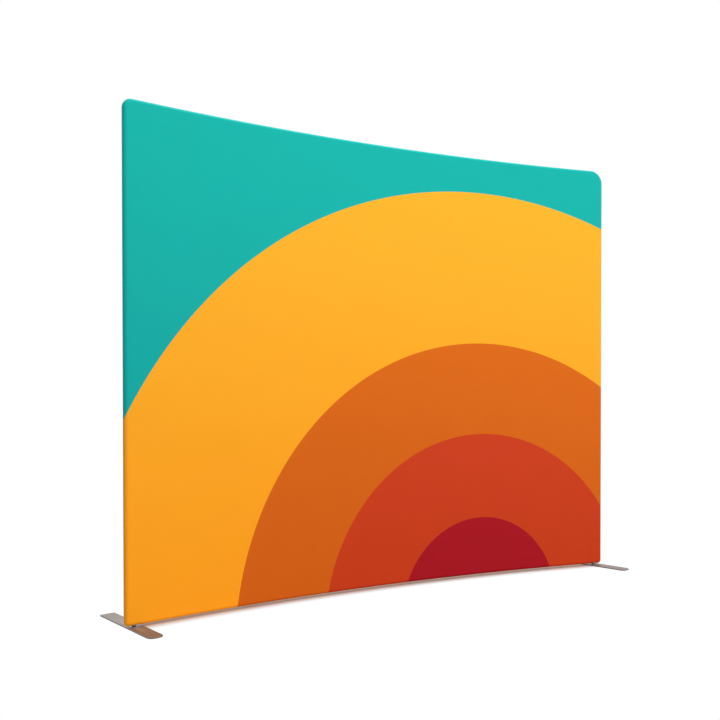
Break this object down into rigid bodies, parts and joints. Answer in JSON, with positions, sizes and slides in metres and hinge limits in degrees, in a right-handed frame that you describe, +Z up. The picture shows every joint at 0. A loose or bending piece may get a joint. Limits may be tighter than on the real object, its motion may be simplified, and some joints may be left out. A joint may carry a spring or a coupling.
{
  "type": "curved fabric display wall",
  "caption": "Tall curved freestanding backwall: a printed stretch cover zipped over a round aluminium tube frame, standing on flat steel feet square to its ends.",
  "frame": {"origin": "on the floor under the middle of the whole display, feet included", "axes": "+X to the right along the wall as seen from its printed hollow side, +Y to the back, +Z up"},
  "size_m": [3.0038, 0.5186, 2.4],
  "materials": {
    "printed_fabric": "satin dye-printed stretch polyester knit",
    "plain_fabric": "plain white stretch polyester knit",
    "zip_tape": "woven polyester tape",
    "zip_teeth": "nylon coil",
    "zip_metal": "nickel plated zinc casting",
    "foot_steel": "brushed steel plate, warm clear lacquer",
    "bolt_steel": "zinc plated",
    "tube_aluminium": "satin anodised tube",
    "cast_aluminium": "fine blasted casting",
    "spring_steel": "bright spring steel",
    "black_plastic": "moulded nylon"
  },
  "bodies": {
    "wall": {"bottom_rail_centre": "tube_aluminium", "bottom_rail_left": "tube_aluminium", "bottom_rail_left_spring": "spring_steel", "bottom_rail_right": "tube_aluminium", "bottom_rail_right_spring": "spring_steel", "centre_post_bottom_cup": "black_plastic", "centre_post_lower": "tube_aluminium", "centre_post_middle_spring": "spring_steel", "centre_post_top_cup": "black_plastic", "centre_post_upper": "tube_aluminium", "cover_back": "plain_fabric", "cover_front": "printed_fabric", "cover_hem": "plain_fabric", "left_bottom_corner_spring": "spring_steel", "left_corner_fitting": "cast_aluminium", "left_foot_bolt": "bolt_steel", "left_foot_spacer": "black_plastic", "left_post_base_spring": "spring_steel", "left_post_lower": "tube_aluminium", "left_post_middle_spring": "spring_steel", "left_post_upper": "tube_aluminium", "left_top_corner_spring": "spring_steel", "right_bottom_corner_spring": "spring_steel", "right_corner_fitting": "cast_aluminium", "right_foot_bolt": "bolt_steel", "right_foot_spacer": "black_plastic", "right_post_base_spring": "spring_steel", "right_post_lower": "tube_aluminium", "right_post_middle_spring": "spring_steel", "right_post_upper": "tube_aluminium", "right_top_corner_spring": "spring_steel", "top_rail_centre": "tube_aluminium", "top_rail_left": "tube_aluminium", "top_rail_left_spring": "spring_steel", "top_rail_right": "tube_aluminium", "top_rail_right_spring": "spring_steel", "zip_chain": "zip_teeth", "zip_stop_left": "zip_metal", "zip_stop_right": "zip_metal", "zip_tape_lower": "zip_tape", "zip_tape_upper": "zip_tape"},
    "bottom_rail_left_button": {"bottom_rail_left_button": "spring_steel"},
    "bottom_rail_right_button": {"bottom_rail_right_button": "spring_steel"},
    "centre_post_middle_button": {"centre_post_middle_button": "spring_steel"},
    "left_bottom_corner_button": {"left_bottom_corner_button": "spring_steel"},
    "left_foot": {"left_foot_plate": "foot_steel"},
    "left_post_base_button": {"left_post_base_button": "spring_steel"},
    "left_post_middle_button": {"left_post_middle_button": "spring_steel"},
    "left_top_corner_button": {"left_top_corner_button": "spring_steel"},
    "right_bottom_corner_button": {"right_bottom_corner_button": "spring_steel"},
    "right_foot": {"right_foot_plate": "foot_steel"},
    "right_post_base_button": {"right_post_base_button": "spring_steel"},
    "right_post_middle_button": {"right_post_middle_button": "spring_steel"},
    "right_top_corner_button": {"right_top_corner_button": "spring_steel"},
    "top_rail_left_button": {"top_rail_left_button": "spring_steel"},
    "top_rail_right_button": {"top_rail_right_button": "spring_steel"},
    "zip_pull": {"zip_pull": "zip_metal"},
    "zip_slider": {"zip_slider": "zip_metal"}
  },
  "joints": [
    {"name": "left_post_base_press", "type": "slide", "parent": "wall", "child": "left_post_base_button", "axis": [-0.9827, -0.1851, 0], "range_m": [0, 0.0038], "stiffness_N_per_m": 400, "springref_m": -0.006, "deforming": ["left_post_base_spring"]},
    {"name": "left_post_middle_press", "type": "slide", "parent": "wall", "child": "left_post_middle_button", "axis": [-0.9827, -0.1851, 0], "range_m": [0, 0.0038], "stiffness_N_per_m": 400, "springref_m": -0.006, "deforming": ["left_post_middle_spring"]},
    {"name": "left_top_corner_press", "type": "slide", "parent": "wall", "child": "left_top_corner_button", "axis": [0, 0, 1], "range_m": [0, 0.0038], "stiffness_N_per_m": 400, "springref_m": -0.006, "deforming": ["left_top_corner_spring"]},
    {"name": "left_bottom_corner_press", "type": "slide", "parent": "wall", "child": "left_bottom_corner_button", "axis": [0, 0, -1], "range_m": [0, 0.0038], "stiffness_N_per_m": 400, "springref_m": -0.006, "deforming": ["left_bottom_corner_spring"]},
    {"name": "right_post_base_press", "type": "slide", "parent": "wall", "child": "right_post_base_button", "axis": [0.9827, -0.1851, 0], "range_m": [0, 0.0038], "stiffness_N_per_m": 400, "springref_m": -0.006, "deforming": ["right_post_base_spring"]},
    {"name": "right_post_middle_press", "type": "slide", "parent": "wall", "child": "right_post_middle_button", "axis": [0.9827, -0.1851, 0], "range_m": [0, 0.0038], "stiffness_N_per_m": 400, "springref_m": -0.006, "deforming": ["right_post_middle_spring"]},
    {"name": "right_top_corner_press", "type": "slide", "parent": "wall", "child": "right_top_corner_button", "axis": [0, 0, 1], "range_m": [0, 0.0038], "stiffness_N_per_m": 400, "springref_m": -0.006, "deforming": ["right_top_corner_spring"]},
    {"name": "right_bottom_corner_press", "type": "slide", "parent": "wall", "child": "right_bottom_corner_button", "axis": [0, 0, -1], "range_m": [0, 0.0038], "stiffness_N_per_m": 400, "springref_m": -0.006, "deforming": ["right_bottom_corner_spring"]},
    {"name": "top_rail_left_press", "type": "slide", "parent": "wall", "child": "top_rail_left_button", "axis": [0, 0, 1], "range_m": [0, 0.0038], "stiffness_N_per_m": 400, "springref_m": -0.006, "deforming": ["top_rail_left_spring"]},
    {"name": "bottom_rail_left_press", "type": "slide", "parent": "wall", "child": "bottom_rail_left_button", "axis": [0, 0, -1], "range_m": [0, 0.0038], "stiffness_N_per_m": 400, "springref_m": -0.006, "deforming": ["bottom_rail_left_spring"]},
    {"name": "top_rail_right_press", "type": "slide", "parent": "wall", "child": "top_rail_right_button", "axis": [0, 0, 1], "range_m": [0, 0.0038], "stiffness_N_per_m": 400, "springref_m": -0.006, "deforming": ["top_rail_right_spring"]},
    {"name": "bottom_rail_right_press", "type": "slide", "parent": "wall", "child": "bottom_rail_right_button", "axis": [0, 0, -1], "range_m": [0, 0.0038], "stiffness_N_per_m": 400, "springref_m": -0.006, "deforming": ["bottom_rail_right_spring"]},
    {"name": "centre_post_middle_press", "type": "slide", "parent": "wall", "child": "centre_post_middle_button", "axis": [-1, 0, 0], "range_m": [0, 0.0038], "stiffness_N_per_m": 400, "springref_m": -0.006, "deforming": ["centre_post_middle_spring"]},
    {"name": "left_foot_swivel", "type": "hinge", "parent": "wall", "child": "left_foot", "pos_m": [-1.4133, -0.03313, 0.0025], "axis": [0, 0, 1], "continuous": true},
    {"name": "right_foot_swivel", "type": "hinge", "parent": "wall", "child": "right_foot", "pos_m": [1.41103, -0.03313, 0.0025], "axis": [0, 0, 1], "continuous": true},
    {"name": "zip_slide", "type": "hinge", "parent": "wall", "child": "zip_slider", "pos_m": [-0.00113, -7.70423, 0.072], "axis": [0, 0, 1], "range_deg": [0, 20.45]},
    {"name": "zip_pull_flip", "type": "hinge", "parent": "zip_slider", "child": "zip_pull", "pos_m": [1.38755, -0.00557, 0.072], "axis": [0, 0, -1], "range_deg": [0, 180]}
  ]
}
